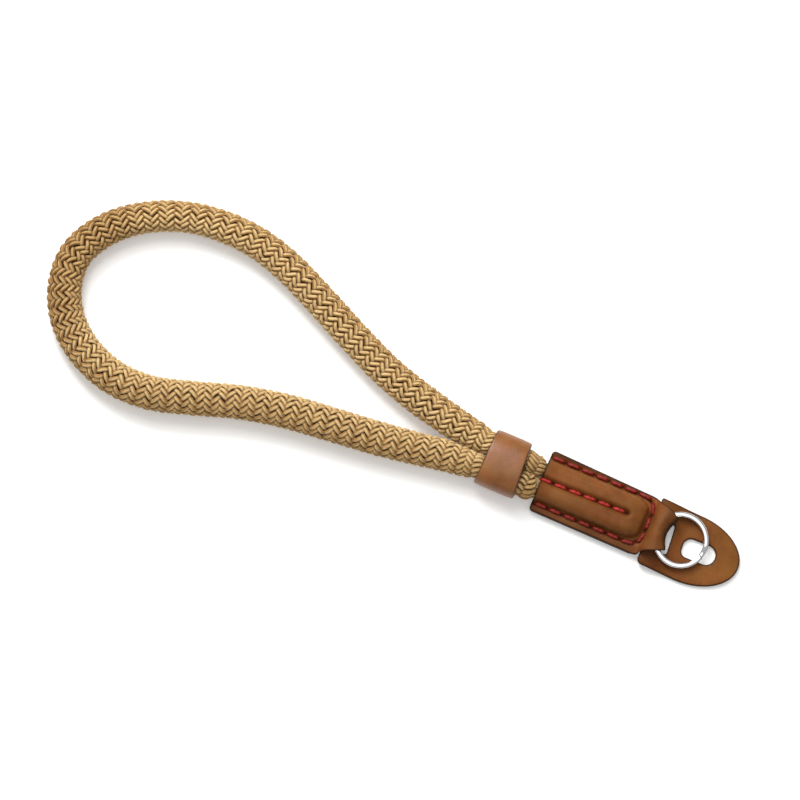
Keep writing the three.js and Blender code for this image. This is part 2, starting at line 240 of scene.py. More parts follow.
# The pad from the side: x, height of its underside. The shifts along X soften its bends.
PAD_ROWS = [(2.0, 1.7), (6.8, 1.7), (8.6, 1.4), (11.2, 0.75), (13.6, 0.2), (15.6, 0.02), (40.0, 0.02)]
PAD_SOFTENING = (0.0, -1.2, -0.6, 0.6, 1.2)

# Height of the lobes along the tab: x, top.
LOBE_TOPS = [(-36.0, 8.2), (-34.0, 7.7), (-31.0, 7.35), (-5.0, 7.2), (-2.0, 6.8), (1.0, 6.2)]

# The tab's leather along its middle, from the shoulder over the ring, down through the pad and
# back below it: outer surface x and z, inner surface x and z, its two edges across Y.
FOLD_ROWS = [
    (0.4, 3.00, 0.4, 1.55, -9.8, 10.6),
    (1.5, 3.00, 1.7, 1.55, -9.7, 10.5),
    (2.3, 3.08, 2.7, 1.62, -9.5, 10.3),
    (2.95, 3.65, 3.1, 2.1, -9.0, 10.05),
    (3.45, 4.75, 3.25, 3.1, -8.4, 9.75),
    (4.05, 5.95, 3.55, 4.1, -7.8, 9.45),
    (4.8, 6.85, 4.15, 5.0, -7.2, 9.1),
    (5.8, 7.3, 4.95, 5.6, -6.5, 8.5),
    (6.8, 7.2, 5.8, 5.85, -5.9, 7.9),
    (7.9, 6.8, 6.5, 5.6, -5.4, 7.2),
    (8.75, 6.0, 6.95, 5.05, -5.1, 6.8),
    (9.3, 4.95, 7.1, 4.3, -4.8, 6.0),
    (9.5, 3.6, 7.3, 3.5, -4.4, 3.9),
    (9.35, 2.1, 7.3, 2.5, -4.4, 3.8),
    (8.7, 1.0, 7.05, 1.85, -4.4, 3.8),
    (7.7, 0.35, 6.75, 1.55, -4.5, 3.9),
    (6.9, 0.12, 6.3, 1.45, -4.7, 4.1),
    (5.2, 0.1, 5.2, 1.45, -5.6, 6.0),
    (3.0, 0.1, 3.0, 1.45, -8.0, 9.3),
    (0.5, 0.1, 0.5, 1.45, -9.8, 10.6),
]


def loose(x, y, thick):
    return x, y, thick / 2 + ROPE_LIFT, thick, thick


# The rope's route from its end in the tab, round the loop and back: x, y, z, width, height.
ROPE_ROWS = [
    (-1.2, 5.0, 3.6, 4.2, 3.7),
    (-33.0, 5.0, 3.7, 4.5, 4.0),
    (-35.8, 5.0, 4.1, 5.2, 4.8),
    (-38.4, 5.2, 5.8, 7.6, 8.6),
    (-41.5, 5.25, 6.6, 7.9, 9.6),
    (-55.2, 5.25, 6.6, 7.9, 9.6),
    (-60.0, 6.0, 6.1, 9.4, 11.0),
    (-68.0, 7.1, 5.9, 10.6, 11.6),
    loose(-79.7, 9.4, 11.5),
    loose(-94.8, 13.8, 11.2),
    loose(-109.7, 20.1, 11.1),
    loose(-124.7, 27.1, 11.1),
    loose(-139.8, 33.6, 11.1),
    loose(-151.8, 36.8, 11.0),
    loose(-163.8, 37.5, 10.9),
    loose(-176.8, 35.6, 10.6),
    loose(-189.7, 29.8, 10.8),
    loose(-199.5, 21.2, 11.2),
    loose(-205.1, 10.3, 11.4),
    loose(-204.4, -0.9, 11.6),
    loose(-199.0, -10.9, 11.8),
    loose(-189.7, -18.4, 11.8),
    loose(-177.8, -22.7, 11.8),
    loose(-164.8, -22.8, 11.7),
    loose(-150.9, -19.0, 11.6),
    loose(-136.9, -14.4, 11.6),
    loose(-121.8, -11.1, 11.7),
    loose(-105.8, -9.2, 11.7),
    loose(-89.8, -7.5, 11.6),
    loose(-77.9, -5.8, 11.2),
    (-68.0, -4.4, 5.9, 10.6, 11.4),
    (-60.0, -3.75, 6.1, 9.4, 11.0),
    (-55.2, -3.25, 6.6, 7.9, 9.6),
    (-41.5, -3.25, 6.6, 7.9, 9.6),
    (-38.4, -3.3, 5.8, 8.0, 8.6),
    (-35.8, -2.3, 4.1, 5.2, 4.8),
    (-33.0, -2.2, 3.7, 4.5, 4.0),
    (-1.2, -2.2, 3.6, 4.2, 3.7),
]


# ---- camera ----

VIEW_TURN = 23.0                # degrees: the strap runs down to the right
VIEW_HEIGHT = 82.0              # degrees over the horizon: nearly from straight above
VIEW_WIDTH = 0.262              # metres of the surface across the picture
LENS = 180.0
SENSOR = 36.0


def new_object(name, data):
    made = bpy.data.objects.new(name, data)
    bpy.context.scene.collection.objects.link(made)
    return made


def make_camera():
    data = bpy.data.cameras.new("camera")
    data.lens = LENS
    data.sensor_width = SENSOR
    data.clip_start, data.clip_end = 0.01, 10.0
    camera = new_object("camera", data)
    turn, height = math.radians(VIEW_TURN), math.radians(VIEW_HEIGHT)
    level = math.cos(height)
    back = Vector((math.sin(turn) * level, -math.cos(turn) * level, math.sin(height)))
    camera.location = (cad_low + cad_high) / 2 + back * (VIEW_WIDTH * LENS / SENSOR)
    camera.rotation_mode = "QUATERNION"
    camera.rotation_quaternion = (-back).to_track_quat("-Z", "Y")
    bpy.context.scene.camera = camera


make_camera()


# ---- making meshes ----

def mesh_object(name, points, faces):
    """A smooth-shaded object from points in millimetres."""
    mesh = bpy.data.meshes.new(name)
    mesh.from_pydata([tuple(float(c) * MM for c in p) for p in points], [], faces)
    mesh.shade_smooth()
    return new_object(name, mesh)


def plain(piece):
    """The piece with its modifiers applied, as a plain mesh."""
    evaluated = piece.evaluated_get(bpy.context.evaluated_depsgraph_get())
    mesh = bpy.data.meshes.new_from_object(evaluated)
    name = piece.name
    bpy.data.objects.remove(piece)
    mesh.name = name
    return new_object(name, mesh)


def point_values(piece, name, values, kind="FLOAT"):
    layer = piece.data.attributes.new(name, kind, "POINT")
    field = "value" if kind == "FLOAT" else "vector"
    layer.data.foreach_set(field, np.asarray(values, dtype=np.float32).ravel())


def sheet_values(piece, name, values):
    """The same values on a sheet's outer and inner face."""
    point_values(piece, name, np.tile(values.ravel(), 2))


def tube_faces(rings, sides):
    """The faces of a tube with closed ends, ring after ring of points."""
    faces = []
    for ring in range(rings - 1):
        for i in range(sides):
            a, b = ring * sides + i, ring * sides + (i + 1) % sides
            faces.append((a, b, b + sides, a + sides))
    faces.append(tuple(reversed(range(sides))))
    faces.append(tuple(range((rings - 1) * sides, rings * sides)))
    return faces


def smooth_between(start, full, value):
    """0 before the start and 1 past the place where it is full, either way round."""
    share = np.clip((value - start) / (full - start), 0, 1)
    return share * share * (3 - 2 * share)


def in_steps(steps, value):
    """The sum of steps, each of them a share and its range."""
    return sum(share * smooth_between(start, full, value) for share, start, full in steps)


def squared(wave, power):
    """A sine or cosine that makes a squared ellipse."""
    return np.sign(wave) * np.abs(wave) ** power


def rounded(distance, radius):
    """How far a rounded edge has fallen, at a distance from its rim: 1 at the rim, 0 inside."""
    share = np.clip(1 - distance / radius, 0, 1)
    return 1 - np.sqrt(1 - share * share)


def spaced(length, step, rim):
    """Even places along a length, with the rim's own places at both ends."""
    inside = np.linspace(rim[-1], length - rim[-1], int(length / step) + 1)
    near = np.array(rim[:-1])
    return np.concatenate([near, inside, (length - near)[::-1]])


def unit(vectors):
    return vectors / np.linalg.norm(vectors, axis=-1, keepdims=True)


def run_along(points):
    """How far along a line of points each of them lies."""
    return np.concatenate([[0], np.cumsum(np.linalg.norm(np.diff(points, axis=0), axis=1))])


def read_at(places, along, table):
    """The rows of a table at places between its own."""
    return np.stack([np.interp(places, along, column) for column in table.T], axis=1)


def curve_through(rows, steps, power):
    """Catmull-Rom points through rows. A power of 0.5 suits rows that lie unevenly, and 0 even ones."""
    p = np.array(rows)
    p = np.vstack([2 * p[0] - p[1], p, 2 * p[-1] - p[-2]])
    points = []
    for p0, p1, p2, p3 in zip(p, p[1:], p[2:], p[3:]):
        d0, d1, d2 = (np.linalg.norm(b - a) ** power for a, b in ((p0, p1), (p1, p2), (p2, p3)))
        t1 = ((p1 - p0) / d0 - (p2 - p0) / (d0 + d1) + (p2 - p1) / d1) * d1
        t2 = ((p2 - p1) / d1 - (p3 - p1) / (d1 + d2) + (p3 - p2) / d2) * d1
        for u in np.arange(steps) / steps:
            u2, u3 = u * u, u * u * u
            points.append((2 * u3 - 3 * u2 + 1) * p1 + (u3 - 2 * u2 + u) * t1
                          + (3 * u2 - 2 * u3) * p2 + (u3 - u2) * t2)
    return np.array(points + [p[-2]])


def outward(points, faces):
    """The faces, turned over if they enclose a negative volume."""
    points = np.asarray(points, float)
    volume = sum(float(np.dot(points[f[0]], np.cross(points[f[k]], points[f[k + 1]])))
                 for f in faces for k in range(1, len(f) - 1))
    return faces if volume > 0 else [tuple(reversed(f)) for f in faces]


def sheet(name, outer, inner, closed=False):
    """A sheet of leather between two grids of points. A closed one runs round to its first row."""
    rows, columns = outer.shape[:2]
    count = rows * columns
    faces = []
    for i in range(rows if closed else rows - 1):
        a, b = i * columns, (i + 1) % rows * columns
        for j in range(columns - 1):
            faces.append((a + j, b + j, b + j + 1, a + j + 1))
            faces.append((count + a + j, count + a + j + 1, count + b + j + 1, count + b + j))
        faces.append((a, count + a, count + b, b))
        a, b = a + columns - 1, b + columns - 1
        faces.append((b, count + b, count + a, a))
    if not closed:
        for j in range(columns - 1):
            faces.append((j, j + 1, count + j + 1, count + j))
            a = count - columns + j
            faces.append((a + 1, a, count + a, count + a + 1))
    points = np.concatenate([outer.reshape(-1, 3), inner.reshape(-1, 3)])
    return mesh_object(name, points, outward(points, faces))


def finish_piece(piece, material, slot, *nodes):
    piece.data.materials.clear()
    piece.data.materials.append(material)
    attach(piece, BODY)
    if nodes:
        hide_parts(*nodes)
    return piece


# ---- node trees ----

class Tree:
    """Short ways to add and join nodes in a shader or geometry tree."""

    def __init__(self, tree):
        self.tree = tree

    def add(self, kind, inputs=None, **settings):
        made = self.tree.nodes.new(kind)
        for name, value in settings.items():
            setattr(made, name, value)
        for name, value in (inputs or {}).items():
            self.put(made.inputs[name], value)
        return made

    def put(self, socket, value):
        if isinstance(value, bpy.types.NodeSocket):
            self.tree.links.new(value, socket)
        else:
            socket.default_value = (*value, 1) if socket.type == "RGBA" else value

    def maths(self, operation, *values, kind="ShaderNodeMath"):
        made = self.add(kind, operation=operation)
        for socket, value in zip(made.inputs, values):
            self.put(socket, value)
        return made.outputs[0]

    def times(self, first, second):
        return self.maths("MULTIPLY", first, second)

    def plus(self, first, second):
        return self.maths("ADD", first, second)

    def minus(self, first, second):
        return self.maths("SUBTRACT", first, second)

    def vector(self, operation, *values):
        return self.maths(operation, *values, kind="ShaderNodeVectorMath")

    def scaled(self, vector, factor):
        values = {"Vector": vector, "Scale": factor}
        return self.add("ShaderNodeVectorMath", values, operation="SCALE").outputs["Vector"]

    def xyz(self, x=0.0, y=0.0, z=0.0):
        return self.add("ShaderNodeCombineXYZ", {"X": x, "Y": y, "Z": z}).outputs[0]

    def mix(self, factor, first, second, blend="MIX"):
        made = self.add("ShaderNodeMix", data_type="RGBA", blend_type=blend)
        self.put(made.inputs["Factor"], factor)
        self.put(made.inputs[6], first)
        self.put(made.inputs[7], second)
        return made.outputs[2]

    def ramp(self, factor, *stops):
        made = self.add("ShaderNodeValToRGB", {"Fac": factor})
        elements = made.color_ramp.elements
        while len(elements) < len(stops):
            elements.new(0.5)
        for element, (place, colour) in zip(elements, stops):
            element.position = place
            element.color = (*colour, 1)
        return made.outputs["Color"]

    def place(self):
        return self.add("ShaderNodeTexCoord").outputs["Object"]

    def noise(self, place, scale, detail, **inputs):
        values = {"Vector": place, "Scale": scale, "Detail": detail, **inputs}
        return self.add("ShaderNodeTexNoise", values).outputs["Fac"]

    def attribute(self, name):
        return self.add("ShaderNodeAttribute", attribute_name=name).outputs["Fac"]

    def stored(self, name, kind="FLOAT"):
        named = self.add("GeometryNodeInputNamedAttribute", {"Name": name}, data_type=kind)
        return named.outputs["Attribute"]

    def store(self, geometry, name, value):
        values = {"Geometry": geometry, "Name": name, "Value": value}
        made = self.add("GeometryNodeStoreNamedAttribute", values, data_type="FLOAT", domain="POINT")
        return made.outputs[0]

    def swept(self, curve, section):
        values = {"Curve": curve, "Profile Curve": section, "Fill Caps": True}
        return self.add("GeometryNodeCurveToMesh", values).outputs[0]

    def bump(self, finish, height, strength, distance):
        values = {"Strength": strength, "Distance": distance, "Height": height}
        self.put(finish["Normal"], self.add("ShaderNodeBump", values).outputs["Normal"])

    def finished(self, geometry, material):
        """Instances made real, smooth-shaded and with their material."""
        real = self.add("GeometryNodeRealizeInstances", {"Geometry": geometry})
        smooth = self.add("GeometryNodeSetShadeSmooth", {"Geometry": real.outputs[0]})
        values = {"Geometry": smooth.outputs[0], "Material": material}
        return self.add("GeometryNodeSetMaterial", values).outputs[0]


def new_tree(name, kind, inputs, outputs):
    """A node group with named sockets: each is (name, socket type) or (name, type, default)."""
    tree = bpy.data.node_groups.new(name, kind)
    for direction, sockets in (("INPUT", inputs), ("OUTPUT", outputs)):
        for socket in sockets:
            made = tree.interface.new_socket(socket[0], in_out=direction, socket_type=socket[1])
            if len(socket) > 2:
                made.default_value = socket[2]
    given = tree.nodes.new("NodeGroupInput").outputs
    result = tree.nodes.new("NodeGroupOutput").inputs
    return Tree(tree), given, result


def shape_by(piece, tree, inputs, material):
    """Puts a geometry tree on a piece, sets its inputs, and gives back a plain mesh."""
    values = {"Material": material, **{name: value for name, _, value in inputs}}
    modifier = piece.modifiers.new(tree.name, "NODES")
    modifier.node_group = tree
    for item in tree.interface.items_tree:
        if item.in_out == "INPUT" and item.name in values:
            modifier[item.identifier] = values[item.name]
    return plain(piece)


FLOAT, COUNT, COLOUR = "NodeSocketFloat", "NodeSocketInt", "NodeSocketColor"
GEOMETRY, MATERIAL = "NodeSocketGeometry", "NodeSocketMaterial"
BLACK, WHITE = (0, 0, 0), (1, 1, 1)


# ---- shared effects ----

def leather_grain_group():
    """Pores and creases of smooth leather: their height, and masks of lighter and redder hide."""
    t, given, result = new_tree("leather_grain", "ShaderNodeTree", [
        ("Pores per metre", FLOAT, 2600.0),
        ("Crease depth", FLOAT, 0.3),
    ], [("Height", FLOAT), ("Hide", FLOAT), ("Patches", FLOAT)])
    place = t.place()
    pores = t.add("ShaderNodeTexVoronoi", {"Vector": place, "Scale": given["Pores per metre"]})
    creases = t.noise(place, 420.0, 4.0, Roughness=0.6, Distortion=0.6)
    pore = t.times(pores.outputs["Distance"], 0.5)
    t.put(result["Height"], t.plus(pore, t.times(creases, given["Crease depth"])))
    t.put(result["Hide"], t.noise(place, 95.0, 5.0, Roughness=0.62))
    patches = t.noise(place, 150.0, 2.0, Distortion=0.4)
    t.put(result["Patches"], t.ramp(patches, (0.42, BLACK), (0.64, WHITE)))
    return t.tree


def leather_edges_and_shade_group():
    """Darkens a hide where it is marked: in painted shade, on the tab's darker upper flange, at its cut
    edges, and in the dents between stitches, which are painted in shade.
    """
    t, given, result = new_tree("leather_edges_and_shade", "ShaderNodeTree", [
        ("Hide", COLOUR),
        ("Cut edge", COLOUR),
    ], [("Colour", COLOUR)])
    # painted shade, and on the tab a darker upper flange
    darkened_and_shaded = t.mix(t.attribute("painted_shade_and_dark_flange"), given["Hide"], (0.42, 0.36, 0.34), "MULTIPLY")
    # dark cut edges, and on the tab painted shade under the fold's nose
    edged_and_nose_shaded = t.mix(t.times(t.attribute("cut_edge_and_painted_shade"), 0.95), darkened_and_shaded, given["Cut edge"])
    # painted shade in the dents between stitches, where the thread goes down
    dent_shaded = t.mix(t.times(t.attribute("stitch_dent_painted_shade"), 0.92), edged_and_nose_shaded, (0.022, 0.006, 0.004))
    t.put(result["Colour"], dent_shaded)
    return t.tree


GRAIN = leather_grain_group()
EDGES_AND_SHADE = leather_edges_and_shade_group()


# ---- materials ----

def new_material(name, values):
    """A material with one shader, and the shader's sockets, some of them set."""
    material = bpy.data.materials.new(name)
    material.use_nodes = True
    material.node_tree.nodes.clear()
    t = Tree(material.node_tree)
    shader = t.add("ShaderNodeBsdfPrincipled", values)
    t.add("ShaderNodeOutputMaterial", {"Surface": shader.outputs["BSDF"]})
    return material, t, shader.inputs


def leather_material(name, light, mid, dark, edge, roughness=0.5, shine=0.1, coat=0.0):
    """Smooth leather in three tones, redder in patches, with dark cut edges, a darker upper flange on the
    tab, and painted shade where its pieces mark it and in stitch dents.
    """
    material, t, finish = new_material(name, {
        "Specular IOR Level": shine, "Coat Weight": coat, "Coat Roughness": 0.3})
    grain = t.add("ShaderNodeGroup", node_tree=GRAIN).outputs
    hide = t.ramp(grain["Hide"], (0.32, dark), (0.5, mid), (0.68, light))
    redder = t.mix(t.times(grain["Patches"], 0.7), hide, (1.0, 0.80, 0.82), "MULTIPLY")
    edged_and_shaded_hide = t.add("ShaderNodeGroup", {"Hide": redder, "Cut edge": edge}, node_tree=EDGES_AND_SHADE)
    t.put(finish["Base Color"], edged_and_shaded_hide.outputs["Colour"])
    t.put(finish["Roughness"], t.maths("MULTIPLY_ADD", grain["Height"], 0.16, roughness - 0.08))
    t.bump(finish, grain["Height"], 0.35, 0.00025)
    return material


def rope_material():
    """Sand-coloured cotton yarn, with painted light and shade: lighter on top of each strand, darker on its
    flanks, brown where strands dive, and in painted shade along parts of the rope.
    """
    material, t, finish = new_material("rope_cotton", {
        "Roughness": 0.85, "Specular IOR Level": 0.2, "Sheen Weight": 0.06, "Sheen Roughness": 0.5})
    names = ("over", "yarn_along", "yarn_around", "strand_tint", "rope_painted_shade")
    over, along, around, tint, rope_painted_shade = (t.attribute(name) for name in names)
    ply = t.maths("SINE", t.plus(t.times(around, PLY_LAY[0]), t.times(along, PLY_LAY[1])))
    fibre_place = t.xyz(t.times(along, 0.9), t.times(around, 26.0), t.times(tint, 60.0))
    fuzz = t.plus(t.times(ply, 0.16), t.noise(fibre_place, 2.0, 3.0, Roughness=0.6))
    yarn = t.ramp(fuzz, (0.25, (0.50, 0.315, 0.12)), (0.5, (0.76, 0.53, 0.24)), (0.8, (0.83, 0.62, 0.33)))
    patch = t.noise(t.xyz(t.times(along, 0.30), t.times(tint, 90.0)), 1.0, 1.0)
    mottled = t.ramp(patch, (0.36, BLACK), (0.64, (0.55, 0.55, 0.55)))
    toned = t.mix(mottled, yarn, (0.55, 0.35, 0.145))
    # painted shade at the loop's far bend and on the legs between the keeper and the tab
    with_rope_shade = t.mix(rope_painted_shade, toned, (0.76, 0.70, 0.62), "MULTIPLY")
    # painted shade where a strand dives under the other hand
    depth = t.ramp(over, (0.22, (0.09, 0.045, 0.015)), (0.72, WHITE))
    dive_shaded = t.mix(1.0, with_rope_shade, depth, "MULTIPLY")
    from_top = t.maths("PINGPONG", around, 0.5)     # a section starts at its strand's outer face
    # painted highlight along each strand's outer face, and painted shade on its flanks
    sides = t.ramp(from_top, (0.14, WHITE), (0.32, (0.58, 0.44, 0.29)))
    t.put(finish["Base Color"], t.mix(1.0, dive_shaded, sides, "MULTIPLY"))
    t.bump(finish, fuzz, 0.6, 0.00018)
    return material


def steel_material():
    material, t, finish = new_material("ring_steel", {"Base Color": (0.88, 0.88, 0.89), "Metallic": 1.0})
    haze = t.noise(t.place(), 900.0, 3.0)
    t.put(finish["Roughness"], t.maths("MULTIPLY_ADD", haze, 0.08, 0.06))
    return material


def thread_material():
    material, t, finish = new_material("red_thread", {"Roughness": 0.55, "Specular IOR Level": 0.35})
    twist = t.noise(t.place(), 1500.0, 2.0)
    red = t.ramp(twist, (0.3, (0.25, 0.009, 0.007)), (0.7, (0.48, 0.024, 0.018)))
    # painted shade on the side rows, which lie in the crease beside the lobes
    t.put(finish["Base Color"], t.mix(t.attribute("row_painted_shade"), red, (0.60, 0.62, 0.45), "MULTIPLY"))
    t.bump(finish, twist, 0.5, 0.0001)
    return material


ROPE = rope_material()
STEEL = steel_material()
RED_THREAD = thread_material()
# The last colour is that of the cut edges; on the tab it also paints the shade under the fold.
TAB_LEATHER = leather_material(
    "tab_leather", (0.25, 0.095, 0.025), (0.21, 0.077, 0.019), (0.155, 0.053, 0.012),
    (0.03, 0.012, 0.006))
SHINY_LEATHER = leather_material(
    "keeper_leather", (0.31, 0.126, 0.036), (0.255, 0.099, 0.026), (0.19, 0.070, 0.018),
    (0.05, 0.02, 0.009), roughness=0.38, shine=0.4, coat=0.05)
PAD_LEATHER = leather_material(
    "pad_leather", (0.245, 0.090, 0.018), (0.20, 0.072, 0.013), (0.15, 0.050, 0.009),
    (0.03, 0.013, 0.006))


# ---- rope ----

def rope_route():
    """The rope's centre, half width and height, and lean, at even places along it."""
    points = curve_through([row[:3] for row in ROPE_ROWS], ROUTE_STEPS, 0.5)
    sizes = np.array([row[3:] for row in ROPE_ROWS]) / 2
    halves = read_at(np.arange(len(points)) / ROUTE_STEPS, np.arange(len(sizes)), sizes)
    length = run_along(points)
    along = np.linspace(0, length[-1], int(length[-1] / ROUTE_PITCH))
    centre, half = read_at(along, length, points), read_at(along, length, halves)
    x = centre[:, 0]
    near_tab = smooth_between(*LEGS_FULL, x) * (1 - smooth_between(*LEGS_IN_TAB, x))
    near_keeper = smooth_between(*LEGS_TOUCH, x) * (1 - smooth_between(*LEGS_IN_KEEPER, x))
    upper_leg = centre[:, 1] > TAB_AXIS
    half[:, 0] += near_tab * np.where(upper_leg, *LEG_FULLNESS) + near_keeper * LEGS_MEET
    half[:, 1] += near_tab * LEG_TALLER
    return centre, half, near_tab * LEG_LEAN + near_keeper * LEGS_MEET, along


def crossing_count(half, along):
    """How many times a strand has crossed the others by each point: fewer where it is squeezed."""
    spacing = math.pi / STRANDS_PER_HAND
    around = spacing * (half.mean(axis=1) - STRAND_TALL / 2)
    loose_around = spacing * (ROPE_WIDTH - STRAND_TALL) / 2
    strand = math.hypot(PERIOD / CROSSINGS_PER_PERIOD, loose_around)
    steps = np.sqrt(strand ** 2 - around ** 2)
    return np.concatenate([[0], np.cumsum(np.diff(along) / ((steps[1:] + steps[:-1]) / 2))])


def rope_core(centre, half, lean):
    """The inside of the rope, under the strands, painted in the darkest shade of the diving strands."""
    tangent = unit(np.gradient(centre, axis=0))
    side = unit(np.cross((0, 0, 1), tangent))
    up = np.cross(tangent, side)
    angle = np.arange(CORE_SIDES) * 2 * math.pi / CORE_SIDES
    inside = half - CORE_DEPTH
    rings = ((centre + side * lean[:, None])[:, None]
             + side[:, None] * (inside[:, :1] * np.cos(angle))[..., None]
             + up[:, None] * (inside[:, 1:] * np.sin(angle))[..., None])
    core = mesh_object("rope_core", rings.reshape(-1, 3), tube_faces(len(centre), CORE_SIDES))
    # over = 0 gives it the darkest painted shade of the diving strands
    point_values(core, "over", np.zeros(len(core.data.vertices)))
    return core


STRAND_INPUTS = [
    ("Strands per hand", COUNT, STRANDS_PER_HAND),
    ("Points", COUNT, STRAND_POINTS),
    ("Strand width", FLOAT, STRAND_WIDE * MM),
    ("Strand height", FLOAT, STRAND_TALL * MM),
    ("Swing", FLOAT, STRAND_SWING * MM),
    ("Wander", FLOAT, STRAND_WANDER),
]


def one_hand_tree():
    """Strands that all turn one way round a route, two crossings over and two under."""
    t, given, result = new_tree("strands_one_hand", "GeometryNodeTree", [
        ("Route", GEOMETRY), ("Hand", FLOAT, 1.0), *STRAND_INPUTS], [("Braid", GEOMETRY)])
    line = t.add("GeometryNodeResampleCurve", {"Curve": given["Route"], "Count": given["Points"]})
    copies = t.add("GeometryNodeDuplicateElements", {
        "Geometry": line.outputs[0], "Amount": given["Strands per hand"]}, domain="SPLINE")
    number = copies.outputs["Duplicate Index"]

    # A strand's place round the rope, a little uneven as hand-braided strands are.
    crossing = t.stored("crossing")
    half_turn = t.times(t.times(crossing, 0.5), given["Hand"])
    wander_place = t.xyz(t.times(crossing, 0.3), t.times(number, 7.3), given["Hand"])
    spread = t.times(t.minus(t.noise(wander_place, 1.0, 1.0), 0.5), given["Wander"])
    turns = t.plus(t.plus(number, half_turn), spread)
    angle = t.times(turns, t.maths("DIVIDE", 2 * math.pi, given["Strands per hand"]))

    # 1 where it lies over the other hand, -1 where it lies under: a wave cut flat at both.
    beat = t.times(t.minus(crossing, 0.5), 2 * math.pi / CROSSINGS_PER_PERIOD)
    wave = t.times(t.maths("COSINE", beat), t.times(given["Hand"], WAVE_CUT))
    over = t.maths("MAXIMUM", t.maths("MINIMUM", wave, 1.0), -1.0)

    tangent = t.add("GeometryNodeInputTangent").outputs[0]
    side = t.vector("NORMALIZE", t.vector("CROSS_PRODUCT", (0.0, 0.0, 1.0), tangent))
    up = t.vector("CROSS_PRODUCT", tangent, side)
    middle_depth = t.plus(given["Swing"], t.times(given["Strand height"], 0.5))
    sink = t.minus(t.times(over, given["Swing"]), middle_depth)
    across = t.times(t.plus(t.stored("half_wide"), sink), t.maths("COSINE", angle))
    upward = t.times(t.plus(t.stored("half_tall"), sink), t.maths("SINE", angle))
    offset = t.vector("ADD", t.scaled(side, t.plus(across, t.stored("lean"))), t.scaled(up, upward))

    kept = t.add("GeometryNodeCaptureAttribute", {"Geometry": copies.outputs["Geometry"]})
    tint = t.add("FunctionNodeRandomValue", {"ID": number, "Seed": 5}, data_type="FLOAT").outputs[1]
    for kind, name, value in (("FLOAT", "over", t.maths("MULTIPLY_ADD", over, 0.5, 0.5)),
                              ("VECTOR", "outward", t.vector("NORMALIZE", offset)),
                              ("FLOAT", "tint", tint)):
        kept.capture_items.new(kind, name)
        t.put(kept.inputs[name], value)
    moved = t.add("GeometryNodeSetPosition", {"Geometry": kept.outputs["Geometry"], "Offset": offset})
    strand = t.add("GeometryNodeSetCurveNormal", {
        "Curve": moved.outputs[0], "Normal": kept.outputs["outward"]}, mode="FREE").outputs[0]
    reach = t.add("GeometryNodeSplineParameter").outputs["Length"]
    for name, value in (("over", kept.outputs["over"]), ("strand_tint", kept.outputs["tint"]),
                        ("yarn_along", t.times(reach, 1 / MM))):
        strand = t.store(strand, name, value)

    circle = t.add("GeometryNodeCurvePrimitiveCircle", {"Resolution": STRAND_SIDES, "Radius": 0.5})
    around = t.add("GeometryNodeSplineParameter").outputs["Factor"]
    section = t.add("GeometryNodeTransform", {
        "Geometry": t.store(circle.outputs[0], "yarn_around", around),
        "Scale": t.xyz(given["Strand height"], given["Strand width"], 1.0)})
    t.put(result["Braid"], t.swept(strand, section.outputs[0]))
    return t.tree


def braid_tree():
    """Both hands of strands round one route."""
    t, given, result = new_tree("braid", "GeometryNodeTree", [
        ("Route", GEOMETRY), *STRAND_INPUTS, ("Material", MATERIAL)], [("Braid", GEOMETRY)])
    hand = one_hand_tree()
    sizes = {name: given[name] for name, _, _ in STRAND_INPUTS}
    route = t.add("GeometryNodeMeshToCurve", {"Mesh": given["Route"]}).outputs[0]
    join = t.add("GeometryNodeJoinGeometry")
    for sign in (1.0, -1.0):
        strands = t.add("GeometryNodeGroup", {"Route": route, "Hand": sign, **sizes}, node_tree=hand)
        t.put(join.inputs[0], strands.outputs[0])
    t.put(result["Braid"], t.finished(join.outputs[0], given["Material"]))
    return t.tree


def route_line(centre, half, lean, crossings):
    """The rope's route as a line of edges that carries its sizes, crossings and painted shade."""
    mesh = bpy.data.meshes.new("rope_braid")
    mesh.from_pydata([tuple(p) for p in centre * MM], [(i, i + 1) for i in range(len(centre) - 1)], [])
    line = new_object("rope_braid", mesh)
    x, y = centre[:, 0], centre[:, 1]
    # where the rope gets painted shade: its far bend, and its legs before the tab
    at_bend = smooth_between(*SHADE_AT_BEND[0], x) * smooth_between(*SHADE_AT_BEND[1], y)
    at_tab = smooth_between(*SHADE_AT_TAB, x) * np.where(y > TAB_AXIS, *SHADE_ON_LEGS)
    for name, values in (("half_wide", half[:, 0] * MM), ("half_tall", half[:, 1] * MM),
                         ("lean", lean * MM), ("crossing", crossings),
                         ("rope_painted_shade", np.maximum(at_bend, at_tab))):
        point_values(line, name, values)
    return line


def make_rope(keeper):
    centre, half, lean, along = rope_route()
    guide = route_line(centre, half, lean, crossing_count(half, along))
    braid = shape_by(guide, braid_tree(), STRAND_INPUTS, ROPE)
    core = rope_core(centre[::COARSE], half[::COARSE], lean[::COARSE])
    with bpy.context.temp_override(active_object=braid, selected_editable_objects=[braid, core]):
        bpy.ops.object.join()
    finish_piece(braid, ROPE, "rope", "rope_loop")


# ---- keeper band ----

